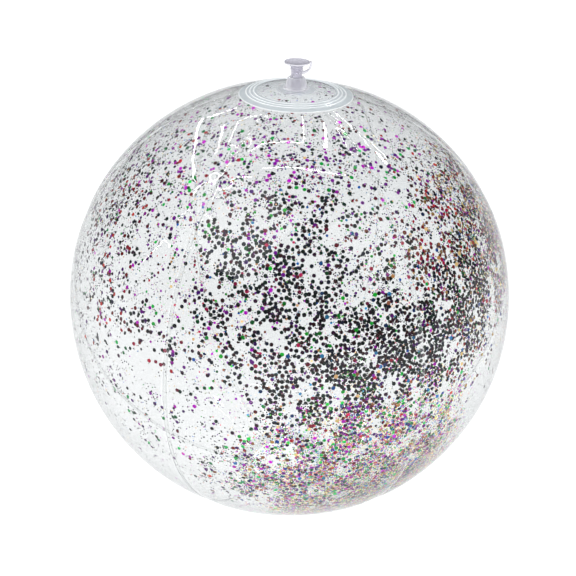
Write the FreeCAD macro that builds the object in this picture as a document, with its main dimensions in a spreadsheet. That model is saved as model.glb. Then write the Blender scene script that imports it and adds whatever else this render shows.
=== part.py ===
"""Inflatable beach ball of clear vinyl film with loose glitter inside and a push-in valve.

Six gore panels are lap welded into a sphere and closed by a round disc at each pole. The top disc carries
a soft moulded valve: a flange under the disc, a collapsible bell, a stem with a stepped bore, a check flap
under the bore and a tethered plug. Glitter flakes cling to the inside of the film.

Frame: origin at the middle of the flat face that the ball rests on, +Z up through the valve, +X towards
the plug's tether. Each sub-part is drawn about the ball's centre or the valve's datum, and its Placement
lifts it into this frame. Units are millimetres.
"""

import FreeCAD, Part
import math
import os

import Sketcher
from FreeCAD import Placement, Rotation, Vector

OUT = "parts"
PANELS = 6
WELD_RIBS = 3
ORIGIN = (-1, 1)  # the sketch origin, as Sketcher names a point
V_AXIS = -2

# alias, value, what it is
SIZES = [
    ("ball_radius", 150.0, "outer radius of the inflated panels at the equator"),
    ("equator_arc", 152.0, "meridian radius round the equator"),
    ("equator_span", 20.0, "slope in degrees where the equator arc meets the shoulder arc"),
    ("shoulder_arc", 146.0, "meridian radius of the shoulder"),
    ("shoulder_span", 60.0, "slope in degrees where the shoulder arc meets the crown arc"),
    ("film", 0.3, "panel film thickness"),
    ("bond", 0.06, "hairline left between two films that are welded together"),
    ("lap_width", 3.0, "width of the tongue that laps under the next panel"),
    ("panel_edge_gap", 0.04, "angle in degrees left between two panel edges"),
    ("weld_inner_radius", 25.0, "where the panel tips end under the polar disc"),
    ("disc_radius", 36.0, "outer radius of a polar disc"),
    ("disc_flat", 12.0, "radius of a disc's middle, kept flat by the valve's flange or by the floor"),
    ("disc_film", 0.3, "polar disc thickness"),
    ("rib_radius", 0.28, "radius of the round weld ribs embossed on a disc"),
    ("rib_first", 26.6, "radius of the innermost weld rib"),
    ("rib_pitch", 2.4, "spacing of the weld ribs"),
    ("valve_hole", 7.6, "hole in the top disc"),
    ("flange_inner", 7.1, "valve flange inner radius"),
    ("flange_outer", 11.8, "valve flange outer radius"),
    ("flange_thick", 0.8, "valve flange thickness"),
    ("bell_base", 7.0, "outer radius of the bell at the flange"),
    ("bell_top", 5.2, "outer radius of the bell at the stem"),
    ("bell_high", 7.5, "height of the bell above the flange"),
    ("bell_curve", 14.0, "radius of the bell's side"),
    ("bell_wall", 0.6, "wall of the bell"),
    ("stem_radius", 3.5, "outer radius of the stem"),
    ("stem_foot", -2.0, "lower end of the stem, from the flange's top face"),
    ("stem_high", 13.0, "top of the stem, from the flange's top face"),
    ("lip_radius", 3.9, "outer radius of the lip round the stem's mouth"),
    ("lip_thick", 1.0, "thickness of the lip"),
    ("bore_radius", 2.4, "bore that takes a pump nozzle"),
    ("seat_radius", 2.9, "wider seat for the plug above the bore"),
    ("seat_floor", 6.5, "height where the bore widens to the seat"),
    ("mouth_bevel", 0.35, "bevel round the seat's mouth"),
    ("flap_radius", 3.1, "check flap radius"),
    ("flap_thick", 0.3, "check flap thickness"),
    ("hinge_half_angle", 35.0, "half the angle in degrees that the flap's straight hinge edge spans"),
    ("flap_gap", 0.05, "gap between the closed flap and the stem's foot"),
    ("shank_radius", 2.1, "plug shank radius"),
    ("shank_long", 3.4, "plug shank length below the stem's mouth"),
    ("bead_radius", 2.78, "sealing bead at the top of the shank"),
    ("bead_thick", 0.35, "height of the sealing bead"),
    ("head_lift", 0.12, "gap between the stem's mouth and the plug's head"),
    ("head_radius", 7.8, "plug head radius"),
    ("head_neck", 3.3, "radius where the head's underside leaves the mouth"),
    ("head_under", 3.2, "height of the head's rim above its neck"),
    ("head_rim", 0.8, "thickness of the head's rim"),
    ("head_dish", 1.2, "depth of the dish in the head's top"),
    ("head_flare", 7.0, "radius of the head's flared underside"),
    ("tether_wide", 3.2, "width of the tether strap"),
    ("tether_thick", 1.0, "thickness of the tether strap"),
    ("tether_root", 9.9, "height where the tether leaves the stem"),
    ("tether_bend", 5.5, "radius of the tether's outer side"),
    ("tether_bead", 0.55, "radius of the bead where the tether bends"),
    ("pivot_out", 8.0, "distance of the bead, the plug's pivot, from the valve's axis"),
    ("pivot_up", 0.4, "height of the bead above the stem's mouth"),
    ("large_flake", 1.1, "radius of a large round glitter flake"),
    ("small_flake", 0.5, "radius of a small hexagonal glitter flake"),
    ("flake_thick", 0.08, "thickness of a glitter flake"),
    ("flake_gap", 0.05, "gap between the film and a flake that clings to it"),
]

# Glitter groups: label, whether its flakes are the large round kind
GLITTER = [
    ("glitter_large_black", True),
    ("glitter_large_purple", True),
    ("glitter_large_green", True),
    ("glitter_large_red", True),
    ("glitter_large_gold", True),
    ("glitter_large_blue", True),
    ("glitter_small_black", False),
    ("glitter_small_purple", False),
    ("glitter_small_silver", False),
]
FLAKES_PER_GROUP = 54
GOLDEN_ANGLE = math.pi * (3 - math.sqrt(5))

# The meridian is three tangent arcs a side, as expressions on the sheet: the places of their centres
EQUATOR_X = "(Sizes.ball_radius - Sizes.equator_arc)"
ARC_STEP = "(Sizes.equator_arc - Sizes.shoulder_arc)"
SHOULDER_X = f"({EQUATOR_X} + {ARC_STEP} * cos(Sizes.equator_span))"
SHOULDER_Z = f"({ARC_STEP} * sin(Sizes.equator_span))"
CROWN_Z = f"({SHOULDER_Z} - {SHOULDER_X} * tan(Sizes.shoulder_span))"
CROWN_ARC = f"(Sizes.shoulder_arc + {SHOULDER_X} / cos(Sizes.shoulder_span))"

# Heights of a disc's flat underside above the ball's centre, and of two datums above the floor
DISC_UNDER = f"({CROWN_Z} + sqrt(({CROWN_ARC} + Sizes.bond)^2 - Sizes.disc_flat^2))"
CENTRE = f"({DISC_UNDER} + Sizes.disc_film)"
VALVE_DATUM = f"({CENTRE} + {DISC_UNDER} - Sizes.bond)"

doc = FreeCAD.newDocument("BeachBall")


def make_sheet():
    """The spreadsheet of driving dimensions: name, value under an alias, and note."""
    sheet = doc.addObject("Spreadsheet::Sheet", "Sizes")
    for row, (alias, value, note) in enumerate(SIZES, start=1):
        sheet.set(f"A{row}", alias)
        sheet.set(f"B{row}", str(value))
        sheet.set(f"C{row}", note)
        sheet.setAlias(f"B{row}", alias)
    doc.recompute()
    return sheet


def make_body(label, height=CENTRE, turn=Rotation()):
    """A PartDesign body, turned about its datum, with the datum at this height above the floor."""
    body = doc.addObject("PartDesign::Body", label)
    body.Label = label
    body.Placement = Placement(Vector(), turn)
    body.setExpression(".Placement.Base.z", height)
    return body


def make_sketch(body, name, role="XZ_Plane"):
    """An empty sketch on one of the body's own origin planes."""
    sketch = body.newObject("Sketcher::SketchObject", name)
    plane = next(f for f in body.Origin.OriginFeatures if f.Role == role)
    sketch.AttachmentSupport = (plane, [""])
    sketch.MapMode = "FlatFace"
    return sketch


def bind(sketch, kind, *args):
    """Adds a constraint whose value is the expression in the last argument."""
    *where, expression = args
    value = float(sketch.evalExpression(expression))
    index = sketch.addConstraint(Sketcher.Constraint(kind, *where, value))
    sketch.setExpression(f"Constraints[{index}]", expression)


def pin_point(sketch, place, x, y):
    """Holds a sketch point at expressions x and y; x of "0" puts it on the vertical axis."""
    if x == "0":
        sketch.addConstraint(Sketcher.Constraint("PointOnObject", *place, V_AXIS))
    else:
        bind(sketch, "DistanceX", *ORIGIN, *place, x)
    bind(sketch, "DistanceY", *ORIGIN, *place, y)


def arc_middle(a, b, radius, side):
    """The middle of the arc from a to b that bulges to the right of a-to-b for side 1, left for -1."""
    chord = b - a
    sagitta = radius - math.sqrt(radius**2 - chord.Length**2 / 4)
    right = Vector(chord.y, -chord.x, 0).normalize()
    return (a + b) * 0.5 + right * sagitta * side


def draw_outline(sketch, corners):
    """Draws a closed outline; a corner is (x, y), or (x, y, radius, side) if an arc runs to the next one."""
    points = [
        Vector(*(float(sketch.evalExpression(e)) for e in corner[:2]), 0)
        for corner in corners
    ]
    ends = []
    for i, corner in enumerate(corners):
        a, b = points[i], points[(i + 1) % len(points)]
        if len(corner) == 2:
            geo = sketch.addGeometry(Part.LineSegment(a, b))
        else:
            radius = float(sketch.evalExpression(corner[2]))
            geo = sketch.addGeometry(Part.Arc(a, arc_middle(a, b, radius, corner[3]), b))
        start = 1 if sketch.getPoint(geo, 1).distanceToPoint(a) < 1e-6 else 2
        ends.append((geo, start, 3 - start))
    for i, (geo, start, _) in enumerate(ends):
        before, _, last = ends[i - 1]
        sketch.addConstraint(Sketcher.Constraint("Coincident", before, last, geo, start))
        pin_point(sketch, (geo, start), *corners[i][:2])
        if len(corners[i]) == 4:
            bind(sketch, "Radius", geo, corners[i][2])


def draw_circle(sketch, x, y, radius):
    """Draws a circle whose centre and radius are expressions."""
    centre = Vector(float(sketch.evalExpression(x)), float(sketch.evalExpression(y)), 0)
    geo = sketch.addGeometry(Part.Circle(centre, Vector(0, 0, 1), float(sketch.evalExpression(radius))))
    pin_point(sketch, (geo, 3), x, y)
    bind(sketch, "Radius", geo, radius)


def revolve(body, sketch, angle="360"):
    """Turns a sketch about the body's Z axis, from the XZ plane towards +Y."""
    feature = body.newObject("PartDesign::Revolution", f"{sketch.Name}_turn")
    feature.Profile = sketch
    feature.ReferenceAxis = (sketch, ["V_Axis"])
    feature.setExpression("Angle", angle)
    return feature


def pad(body, sketch, length, length2=None, reverse=False, middle=False):
    """Pads a sketch on the XZ plane towards -Y, by length2 towards +Y as well, or half each way."""
    feature = body.newObject("PartDesign::Pad", f"{sketch.Name}_pad")
    feature.Profile = sketch
    feature.setExpression("Length", length)
    feature.Reversed = reverse
    if middle:
        feature.SideType = "Symmetric"
    if length2:
        feature.SideType = "Two sides"
        feature.setExpression("Length2", length2)
    return feature


def meridian(depth):
    """The meridian at a depth below the panels' outer surface: its corners from the lower tip, its arcs."""
    crown = f"({CROWN_ARC} - ({depth}))"
    shoulder = f"(Sizes.shoulder_arc - ({depth}))"
    equator = f"(Sizes.equator_arc - ({depth}))"
    tip = "Sizes.weld_inner_radius"
    upper = [
        (f"{EQUATOR_X} + {equator} * cos(Sizes.equator_span)", f"{equator} * sin(Sizes.equator_span)"),
        (f"{crown} * cos(Sizes.shoulder_span)", f"{CROWN_Z} + {crown} * sin(Sizes.shoulder_span)"),
        (tip, f"{CROWN_Z} + sqrt({crown}^2 - {tip}^2)"),
    ]
    lower = [(x, f"-1 * ({z})") for x, z in reversed(upper)]
    return lower + upper, [crown, shoulder, equator, shoulder, crown]


def film_outline(outer_depth, inner_depth):
    """Panel film seen edge on, between two depths below the panels' outer surface."""
    points, radii = meridian(outer_depth)
    corners = [(*point, radius, 1) for point, radius in zip(points, radii)] + [points[-1]]
    points, radii = meridian(inner_depth)
    points.reverse()
    corners += [(*point, radius, -1) for point, radius in zip(points, radii)] + [points[-1]]
    return corners


def make_panel(number):
    """One gore: a sixth of the sphere, with a tongue that steps in and laps under the panel before it."""
    turn = Rotation(Vector(0, 0, 1), number * 360 / PANELS)
    body = make_body(f"panel_{number + 1}", turn=turn)
    wall = make_sketch(body, f"wall_{number}")
    draw_outline(wall, film_outline("0", "Sizes.film"))
    revolve(body, wall, f"{360 // PANELS} - Sizes.panel_edge_gap")

    tongue = make_sketch(body, f"tongue_{number}")
    draw_outline(tongue, film_outline("Sizes.film + Sizes.bond", "2 * Sizes.film + Sizes.bond"))
    pad(body, tongue, "Sizes.lap_width", "Sizes.lap_width / 3")

    step = make_sketch(body, f"step_{number}")
    draw_outline(step, film_outline("Sizes.film / 2", "1.5 * Sizes.film + Sizes.bond"))
    pad(body, step, "Sizes.lap_width / 3", reverse=True)
    return body


def make_disc(label, hole, turn):
    """A polar disc: a flat middle, then a dome that follows the panels, with ribs over the weld."""
    body = make_body(label, turn=turn)
    under = f"({CROWN_ARC} + Sizes.bond)"
    over = f"({CROWN_ARC} + Sizes.bond + Sizes.disc_film)"
    flat_top = f"({DISC_UNDER} + Sizes.disc_film)"
    rim = "Sizes.disc_radius"
    section = make_sketch(body, f"{label}_section")
    draw_outline(
        section,
        [
            (hole, DISC_UNDER),
            ("Sizes.disc_flat", DISC_UNDER, under, -1),
            (rim, f"{CROWN_Z} + sqrt({under}^2 - {rim}^2)"),
            (rim, f"{CROWN_Z} + sqrt({over}^2 - {rim}^2)", over, 1),
            (f"sqrt({over}^2 - ({flat_top} - {CROWN_Z})^2)", flat_top),
            (hole, flat_top),
        ],
    )
    revolve(body, section)

    ribs = make_sketch(body, f"{label}_ribs")
    for rib in range(WELD_RIBS):
        at = f"(Sizes.rib_first + {rib} * Sizes.rib_pitch)"
        draw_circle(ribs, at, f"{CROWN_Z} + sqrt({over}^2 - {at}^2)", "Sizes.rib_radius")
    revolve(body, ribs)
    return body


def make_flange():
    """The flat ring that is welded to the underside of the top disc."""
    body = make_body("valve_flange", VALVE_DATUM)
    section = make_sketch(body, "flange_section")
    draw_outline(
        section,
        [
            ("Sizes.flange_inner", "-Sizes.flange_thick"),
            ("Sizes.flange_outer", "-Sizes.flange_thick"),
            ("Sizes.flange_outer", "-Sizes.flange_thick / 4"),
            ("Sizes.flange_outer - Sizes.flange_thick", "0"),
            ("Sizes.flange_inner", "0"),
        ],
    )
    revolve(body, section)
    return body


def make_bell():
    """The thin collapsible wall between the flange and the stem, which folds inside out when pushed."""
    body = make_body("valve_bell", VALVE_DATUM)
    section = make_sketch(body, "bell_section")
    inner_curve = "Sizes.bell_curve - Sizes.bell_wall"
    draw_outline(
        section,
        [
            ("Sizes.bell_base - Sizes.bell_wall", "-Sizes.flange_thick"),
            ("Sizes.bell_base", "-Sizes.flange_thick"),
            ("Sizes.bell_base", "0", "Sizes.bell_curve", 1),
            ("Sizes.bell_top", "Sizes.bell_high"),
            ("Sizes.stem_radius + Sizes.bond", "Sizes.bell_high"),
            ("Sizes.stem_radius + Sizes.bond", "Sizes.bell_high - Sizes.bell_wall", inner_curve, -1),
            ("Sizes.bell_base - Sizes.bell_wall", "0"),
        ],
    )
    revolve(body, section)
    return body


def make_stem():
    """The tube: a nozzle bore below, a wider plug seat above, and a lip round the mouth."""
    body = make_body("valve_stem", VALVE_DATUM)
    section = make_sketch(body, "stem_section")
    draw_outline(
        section,
        [
            ("Sizes.bore_radius", "Sizes.stem_foot"),
            ("Sizes.stem_radius", "Sizes.stem_foot"),
            ("Sizes.stem_radius", "Sizes.stem_high - 2 * Sizes.lip_thick"),
            ("Sizes.lip_radius", "Sizes.stem_high - Sizes.lip_thick"),
            ("Sizes.lip_radius", "Sizes.stem_high"),
            ("Sizes.seat_radius + Sizes.mouth_bevel", "Sizes.stem_high"),
            ("Sizes.seat_radius", "Sizes.stem_high - Sizes.mouth_bevel"),
            ("Sizes.seat_radius", "Sizes.seat_floor"),
            ("Sizes.bore_radius", "Sizes.seat_floor"),
        ],
    )
    revolve(body, section)
    return body


def make_flap():
    """The thin check flap under the stem: a disc with a straight hinge edge on its -X side."""
    body = make_body("check_flap", f"{VALVE_DATUM} + Sizes.stem_foot - Sizes.flap_gap")
    outline = make_sketch(body, "flap_outline", "XY_Plane")
    across = "Sizes.flap_radius * cos(Sizes.hinge_half_angle)"
    along = "Sizes.flap_radius * sin(Sizes.hinge_half_angle)"
    draw_outline(
        outline,
        [
            (f"-1 * {across}", f"-1 * {along}", "Sizes.flap_radius", 1),
            (across, f"-1 * {along}", "Sizes.flap_radius", 1),
            (across, along, "Sizes.flap_radius", 1),
            (f"-1 * {across}", along),
        ],
    )
    pad(body, outline, "Sizes.flap_thick", reverse=True)

    bead = make_sketch(body, "flap_bead")
    draw_circle(bead, f"-1 * {across}", "-0.5 * Sizes.flap_thick", "Sizes.flap_thick / 2")
    pad(body, bead, f"2 * {along}", middle=True)
    return body


def make_plug():
    """The stopper: a tapered shank with a sealing bead, under a flared and dished head."""
    body = make_body("valve_plug", f"{VALVE_DATUM} + Sizes.stem_high")
    section = make_sketch(body, "plug_section")
    rim = "Sizes.head_lift + Sizes.head_under"
    dish = "(Sizes.head_radius^2 + Sizes.head_dish^2) / (2 * Sizes.head_dish)"
    draw_outline(
        section,
        [
            ("0", "-1 * Sizes.shank_long"),
            ("Sizes.shank_radius * 0.75", "-1 * Sizes.shank_long"),
            ("Sizes.shank_radius", "-0.75 * Sizes.shank_long"),
            ("Sizes.shank_radius", "-2 * Sizes.bead_thick"),
            ("Sizes.bead_radius", "-1 * Sizes.bead_thick"),
            ("Sizes.bead_radius", "Sizes.head_lift"),
            ("Sizes.head_neck", "Sizes.head_lift", "Sizes.head_flare", -1),
            ("Sizes.head_radius", rim),
            ("Sizes.head_radius", f"{rim} + Sizes.head_rim", dish, -1),
            ("0", f"{rim} + Sizes.head_rim - Sizes.head_dish"),
        ],
    )
    revolve(body, section)
    return body


def make_tether():
    """The strap that curves from the stem's side up to the plug's rim, with a bead where it bends."""
    body = make_body("plug_tether", VALVE_DATUM)
    side = make_sketch(body, "tether_side")
    root = "Sizes.stem_radius + Sizes.bond"
    tip = "(Sizes.head_radius + Sizes.bond)"
    top = "Sizes.stem_high + Sizes.head_lift + Sizes.head_under + Sizes.head_rim"
    draw_outline(
        side,
        [
            (root, "Sizes.tether_root", "Sizes.tether_bend", 1),
            (f"{tip} + Sizes.tether_thick", top),
            (tip, top, "Sizes.tether_bend - Sizes.tether_thick", -1),
            (root, "Sizes.tether_root + Sizes.tether_thick"),
        ],
    )
    pad(body, side, "Sizes.tether_wide", middle=True)

    bead = make_sketch(body, "tether_bead")
    draw_circle(bead, "Sizes.pivot_out", "Sizes.stem_high + Sizes.pivot_up", "Sizes.tether_bead")
    pad(body, bead, "Sizes.tether_wide", middle=True)
    return body


def film_place(sheet, turn, rise, depth):
    """A place at a depth below the panels' outer surface, and the outward normal there, whose z is rise."""
    slope = math.degrees(math.asin(abs(rise)))
    if slope < sheet.equator_span:
        arc = (EQUATOR_X, "0", "Sizes.equator_arc")
    elif slope < sheet.shoulder_span:
        arc = (SHOULDER_X, SHOULDER_Z, "Sizes.shoulder_arc")
    else:
        arc = ("0", CROWN_Z, CROWN_ARC)
    out, up, radius = (float(sheet.evalExpression(e)) for e in arc)
    around = Vector(math.cos(turn), math.sin(turn), 0)
    normal = around * math.sqrt(1 - rise**2) + Vector(0, 0, rise)
    centre = around * out + Vector(0, 0, math.copysign(1, rise) * up)
    return centre + normal * (radius - depth), normal


def touches_lap(place, clear):
    """Whether a place lies within this distance of a seam, where the panels' tongues are."""
    for seam in range(PANELS):
        turned = Rotation(Vector(0, 0, 1), -seam * 360 / PANELS).multVec(place)
        if turned.x > 0 and abs(turned.y) < clear:
            return True
    return False


def make_flake(sheet, large):
    """One flake lying flat under its own origin: a large round one, or a small hexagonal one."""
    down = Vector(0, 0, -sheet.flake_thick)
    if large:
        return Part.makeCylinder(sheet.large_flake, sheet.flake_thick, down)
    turns = [math.radians(60 * corner) for corner in range(7)]
    corners = [Vector(math.cos(turn), math.sin(turn), 0) * sheet.small_flake + down for turn in turns]
    return Part.Face(Part.makePolygon(corners)).extrude(-down)


def make_glitter(sheet, group, label, large):
    """A group of flakes clinging to the film, on a spiral from pole to pole that all the groups share."""
    flake = make_flake(sheet, large)
    total = FLAKES_PER_GROUP * len(GLITTER)
    flakes = []
    for number in range(group, total, len(GLITTER)):
        rise = 1 - 2 * (number + 0.5) / total
        place, normal = film_place(sheet, number * GOLDEN_ANGLE, rise, sheet.film + sheet.flake_gap)
        clear_of_disc = math.hypot(place.x, place.y) > sheet.disc_radius
        if clear_of_disc and not touches_lap(place, sheet.lap_width + sheet.large_flake):
            one = flake.copy()
            one.Placement = Placement(place, Rotation(Vector(0, 0, 1), normal))
            flakes.append(one)
    feature = doc.addObject("Part::Feature", label)
    feature.Label = label
    feature.Shape = Part.makeCompound(flakes)
    feature.setExpression(".Placement.Base.z", CENTRE)
    return feature


def build():
    """Builds every sub-part and returns them."""
    sheet = make_sheet()
    parts = [make_panel(number) for number in range(PANELS)]
    parts.append(make_disc("top_disc", "Sizes.valve_hole", Rotation()))
    parts.append(make_disc("bottom_disc", "0", Rotation(Vector(1, 0, 0), 180)))
    parts += [make_flange(), make_bell(), make_stem(), make_flap(), make_plug(), make_tether()]
    parts += [make_glitter(sheet, group, *kind) for group, kind in enumerate(GLITTER)]
    doc.recompute()
    return parts


def check(parts):
    """Stops if any object failed to build or any sub-part isn't a valid solid."""
    bad = [o.Label for o in doc.Objects if {"Invalid", "Error"} & set(o.State)]
    bad += [p.Label for p in parts if p.Shape.isNull() or not p.Shape.isValid() or not p.Shape.Solids]
    if bad:
        raise RuntimeError(f"these did not build: {bad}")


def export(parts):
    """Writes each sub-part to its own STEP file."""
    os.makedirs(OUT, exist_ok=True)
    for part in parts:
        part.Shape.exportStep(os.path.join(OUT, f"{part.Label}.step"))
        print(part.Label, len(part.Shape.Solids), "solids", round(part.Shape.Volume, 2), "mm3")


parts = build()
check(parts)
export(parts)
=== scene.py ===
import math

import bmesh
import bpy
import numpy as np
from mathutils import Matrix, Vector


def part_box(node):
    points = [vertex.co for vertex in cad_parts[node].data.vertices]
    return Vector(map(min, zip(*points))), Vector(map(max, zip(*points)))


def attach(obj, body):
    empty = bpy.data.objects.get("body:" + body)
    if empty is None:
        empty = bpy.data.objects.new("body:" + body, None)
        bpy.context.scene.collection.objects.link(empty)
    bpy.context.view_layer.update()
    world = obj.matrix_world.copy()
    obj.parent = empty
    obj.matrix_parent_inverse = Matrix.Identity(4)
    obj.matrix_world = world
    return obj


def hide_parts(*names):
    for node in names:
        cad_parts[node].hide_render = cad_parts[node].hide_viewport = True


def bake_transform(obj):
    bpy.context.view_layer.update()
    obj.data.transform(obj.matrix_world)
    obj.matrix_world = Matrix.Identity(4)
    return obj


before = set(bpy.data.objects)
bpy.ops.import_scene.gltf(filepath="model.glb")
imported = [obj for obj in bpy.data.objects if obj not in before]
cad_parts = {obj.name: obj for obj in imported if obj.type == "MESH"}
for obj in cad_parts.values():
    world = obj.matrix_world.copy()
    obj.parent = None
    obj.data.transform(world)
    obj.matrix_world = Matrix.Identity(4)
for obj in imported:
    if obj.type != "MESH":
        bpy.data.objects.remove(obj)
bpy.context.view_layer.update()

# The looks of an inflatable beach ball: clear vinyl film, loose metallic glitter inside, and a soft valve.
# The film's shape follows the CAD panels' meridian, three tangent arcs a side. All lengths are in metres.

MM = 0.001
PANELS = 6
RNG = np.random.default_rng(11)

# Places taken from the frame
PANEL_LOW, PANEL_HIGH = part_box("panel_1")
RADIUS = PANEL_HIGH.x
CENTRE = np.array([0.0, 0.0, (PANEL_LOW.z + PANEL_HIGH.z) / 2])
FLANGE_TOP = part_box("valve_flange")[1].z
BELL_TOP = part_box("valve_bell")[1].z
STEM_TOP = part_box("valve_stem")[1].z
PLUG_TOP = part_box("valve_plug")[1].z

# The meridian: arc radii, and the slopes in degrees where one arc meets the next
EQUATOR_ARC = RADIUS * 152 / 150
SHOULDER_ARC = RADIUS * 146 / 150
EQUATOR_SPAN = 20.0
SHOULDER_SPAN = 60.0
EQUATOR_X = RADIUS - EQUATOR_ARC
SHOULDER_X = EQUATOR_X + (EQUATOR_ARC - SHOULDER_ARC) * math.cos(math.radians(EQUATOR_SPAN))
SHOULDER_Z = (EQUATOR_ARC - SHOULDER_ARC) * math.sin(math.radians(EQUATOR_SPAN))
CROWN_Z = SHOULDER_Z - SHOULDER_X * math.tan(math.radians(SHOULDER_SPAN))
CROWN_ARC = SHOULDER_ARC + SHOULDER_X / math.cos(math.radians(SHOULDER_SPAN))

# The film: its gauge, how far one panel laps under the next and the gap there, the gap under a disc, and
# the gap between two panels' edges
FILM = 0.3 * MM
LAP = 3.0 * MM
LAP_GAP = 0.05 * MM
BOND = 0.06 * MM
EDGE_GAP = 0.02 * MM

# The open ring that the panels' tips leave at a pole, and the disc that closes it
TIP_RADIUS = 25.0 * MM
DISC_RADIUS = 36.0 * MM
DISC_FLAT = 12.0 * MM

# How the film strays from a smooth surface: the seams draw in and pucker, the discs gather it, and no part
# of it is quite even
SEAM_DRAW = 0.55 * MM
SEAM_REACH = 6.0 * MM
DRAW_FADE = 30.0 * MM
PUCKER = 0.11 * MM
PUCKER_LENGTH = 9.5 * MM
GATHER = 0.04 * MM
GATHERS = 26
FADE = 9.0 * MM
UNEVEN = 0.25 * MM

# The viewpoint: a heading round the ball in degrees, a roll, a distance, and the lens
VIEW_AZIMUTH = -2.4
VIEW_ELEVATION = 29.2
VIEW_ROLL = 1.8
VIEW_DISTANCE = 4.5 * RADIUS
LENS = 60.3
SHIFT = (-0.0028, 0.0142)


# ---------------------------------------------------------------- shape of the film


def heading(azimuth, elevation):
    """Unit direction; azimuth 0 faces -Y and grows towards +X, both in degrees."""
    a, e = np.broadcast_arrays(np.radians(azimuth), np.radians(elevation))
    return np.stack([np.cos(e) * np.sin(a), -np.cos(e) * np.cos(a), np.sin(e)], axis=-1)


def meridian(slope, depth):
    """Distance from the axis and height over the centre, at a slope in radians and a depth in the film."""
    size = np.abs(slope)
    equator = size < math.radians(EQUATOR_SPAN)
    shoulder = size < math.radians(SHOULDER_SPAN)
    out = np.where(equator, EQUATOR_X, np.where(shoulder, SHOULDER_X, 0.0))
    up = np.where(equator, 0.0, np.where(shoulder, SHOULDER_Z, CROWN_Z))
    arc = np.where(equator, EQUATOR_ARC, np.where(shoulder, SHOULDER_ARC, CROWN_ARC)) - depth
    return out + arc * np.cos(slope), np.sign(slope) * up + arc * np.sin(slope)


def seam_distance(turn, out):
    """Distance to the nearest seam, for a turn in radians about the axis and a distance from it."""
    step = 2 * math.pi / PANELS
    return np.abs((turn + step / 2) % step - step / 2) * out


def puff(turn, slope, out):
    """How far the film stands off a smooth surface: seams draw in and pucker, and the discs gather it."""
    near = seam_distance(turn, out)
    seam = np.round(turn / (2 * math.pi / PANELS))
    along = slope * RADIUS
    draw = -SEAM_DRAW * np.exp(-((near / SEAM_REACH) ** 2))
    draw = draw * np.clip((out - DISC_RADIUS) / DRAW_FADE, 0.1, 1.0)
    swell = 1.0 + 0.6 * np.sin(along / (23 * MM) + 2.1 * seam) + 0.4 * np.sin(along / (9 * MM) + seam)
    bend = np.clip((np.abs(slope) - 0.25) / 0.5, 0.0, 1.0)
    pucker = PUCKER * swell * bend * np.sin(2 * math.pi * along / PUCKER_LENGTH + 1.7 * seam)
    pucker = pucker * np.exp(-near / FADE) * (1 - np.exp(-near / (2.5 * MM)))
    gather = np.exp(-(out - DISC_RADIUS) / FADE) * (out > TIP_RADIUS)
    gather = np.minimum(gather, 1.0) * GATHER * np.cos(GATHERS * turn + 1.3 * np.sin(3 * turn))
    soft = UNEVEN * np.sin(3 * turn + 2.0 * slope) * np.sin(5 * slope + turn) * np.cos(slope)
    return draw + pucker + gather + soft


def film_point(turn, slope, depth):
    """Points on the film, with their outward normals, for arrays of turn and slope in radians."""
    turn, slope = np.broadcast_arrays(turn, slope)
    out, up = meridian(slope, depth)
    lift = puff(turn, slope, out)
    level, rise = np.cos(slope), np.sin(slope)
    normal = np.stack([level * np.cos(turn), level * np.sin(turn), rise], axis=-1)
    place = np.stack([out * np.cos(turn), out * np.sin(turn), up], axis=-1) + CENTRE
    return place + normal * lift[..., None], normal


def tip_slope(out):
    """The slope at which the crown arc is this far from the axis."""
    return math.acos(out / CROWN_ARC)


# ---------------------------------------------------------------- mesh helpers


def new_object(name, points, faces, smooth=True):
    """A mesh object from an array of points and a list of faces."""
    mesh = bpy.data.meshes.new(name)
    mesh.from_pydata([tuple(p) for p in points], [], faces)
    mesh.validate()
    mesh.polygons.foreach_set("use_smooth", [smooth] * len(mesh.polygons))
    obj = bpy.data.objects.new(name, mesh)
    bpy.context.scene.collection.objects.link(obj)
    return obj


def paint(obj, name, values):
    """Stores one number or colour a vertex, for a material to read."""
    values = np.asarray(values, float)
    colours = np.ones((len(obj.data.vertices), 4))
    colours[:, :3] = values[:, None] if values.ndim == 1 else values
    layer = obj.data.attributes.new(name, "FLOAT_COLOR", "POINT")
    layer.data.foreach_set("color", colours.ravel())


def grid_faces(rows, columns, start=0, flip=False, closed=False):
    """Quads of a grid of points stored row by row; closed joins the last column to the first."""
    faces = []
    for i in range(rows - 1):
        for j in range(columns if closed else columns - 1):
            k = (j + 1) % columns
            quad = (i * columns + j, i * columns + k, (i + 1) * columns + k, (i + 1) * columns + j)
            quad = tuple(start + q for q in quad)
            faces.append(quad[::-1] if flip else quad)
    return faces


def ring_faces(rows, columns, flip=False):
    """Quads of a grid of points whose last row joins its first, and its last column its first."""
    total = rows * columns
    return [tuple(q % total for q in face) for face in grid_faces(rows + 1, columns, closed=True, flip=flip)]


def closed_sheet(name, outer, inner):
    """A thin closed sheet between two grids of points of the same shape."""
    rows, columns = outer.shape[:2]
    points = np.concatenate([outer.reshape(-1, 3), inner.reshape(-1, 3)])
    under = rows * columns
    faces = grid_faces(rows, columns) + grid_faces(rows, columns, under, flip=True)
    border = list(range(columns))
    border += [i * columns + columns - 1 for i in range(1, rows)]
    border += [(rows - 1) * columns + j for j in range(columns - 2, -1, -1)]
    border += [i * columns for i in range(rows - 2, 0, -1)]
    for a, b in zip(border, border[1:] + border[:1]):
        faces.append((b, a, a + under, b + under))
    return new_object(name, points, faces)


def lathe(name, outline, steps):
    """A solid turned about the vertical axis, from a closed outline of (radius, height) points."""
    turn = np.linspace(0, 2 * math.pi, steps, endpoint=False)
    outline = np.asarray(outline)
    points = np.stack(
        [
            outline[:, None, 0] * np.cos(turn),
            outline[:, None, 0] * np.sin(turn),
            np.repeat(outline[:, 1:], steps, axis=1),
        ],
        axis=-1,
    )
    obj = new_object(name, points.reshape(-1, 3), ring_faces(len(outline), steps))
    clean_mesh(obj)
    return obj


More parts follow.
